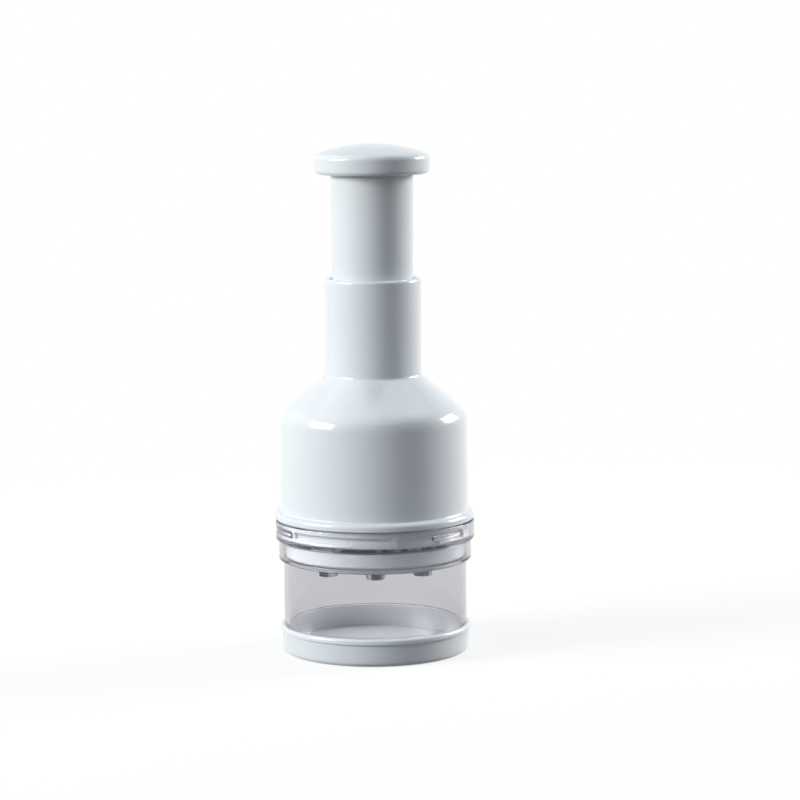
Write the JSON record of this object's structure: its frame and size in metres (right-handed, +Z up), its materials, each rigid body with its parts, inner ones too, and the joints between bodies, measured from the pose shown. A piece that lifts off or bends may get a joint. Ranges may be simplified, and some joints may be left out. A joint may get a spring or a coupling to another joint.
{
  "type": "plunger food chopper",
  "caption": "Hand food chopper: domed plunger slides in a bottle-shaped housing, spins a zigzag blade down through a wiper into a clear cup on a base cap.",
  "frame": {"origin": "centre of the base cap's rest face, on the axis of the plunger", "axes": "+Z up the plunger axis from the rest face to the knob, -Y towards the front of the picture, +X to its right"},
  "size_m": [0.0824, 0.0824, 0.21],
  "materials": {
    "white_plastic": "glossy cool white moulded plastic",
    "clear_plastic": "clear moulded plastic, polished",
    "natural_plastic": "natural acetal, satin",
    "stainless": "polished stainless strip",
    "screw_steel": "plated steel fastener",
    "spring_steel": "drawn spring wire"
  },
  "bodies": {
    "base": {"base_cap": "white_plastic"},
    "cup": {"chopping_cup": "clear_plastic"},
    "housing": {"housing_shell": "white_plastic", "guide_plate": "natural_plastic", "plate_screws": "screw_steel", "index_nut": "natural_plastic", "nut_washer": "screw_steel", "return_spring": "spring_steel"},
    "plunger": {"plunger_tube": "white_plastic", "knob": "white_plastic"},
    "rotor": {"blade_spindle": "natural_plastic", "blade_carrier": "white_plastic", "blade_backing": "stainless", "zigzag_blade": "stainless", "carrier_screw": "screw_steel", "carrier_washer": "screw_steel", "spindle_screw": "screw_steel", "spindle_washer": "screw_steel"},
    "wiper": {"wiper_plate": "white_plastic", "thrust_ring": "stainless"}
  },
  "joints": [
    {"name": "cup_lift", "type": "slide", "parent": "base", "child": "cup", "axis": [0, 0, 1], "range_m": [0, 0.03]},
    {"name": "bayonet_twist", "type": "hinge", "parent": "cup", "child": "housing", "pos_m": [0, 0, 0.05], "axis": [0, 0, 1], "range_deg": [0, 22]},
    {"name": "plunger_press", "type": "slide", "parent": "housing", "child": "plunger", "axis": [0, 0, -1], "range_m": [0, 0.0315], "stiffness_N_per_m": 350, "springref_m": -0.03, "deforming": ["return_spring"]},
    {"name": "blade_turn", "type": "hinge", "parent": "plunger", "child": "rotor", "pos_m": [0, 0, 0.1], "axis": [0, 0, 1], "range_deg": [-30, 0]},
    {"name": "wiper_turn", "type": "hinge", "parent": "housing", "child": "wiper", "pos_m": [0, 0, 0.04], "axis": [0, 0, 1], "range_deg": [-30, 0]}
  ],
  "couplings": [
    {"joint": "blade_turn", "follows": "plunger_press", "rad_per_m": -16.62},
    {"joint": "wiper_turn", "follows": "plunger_press", "rad_per_m": -16.62}
  ]
}
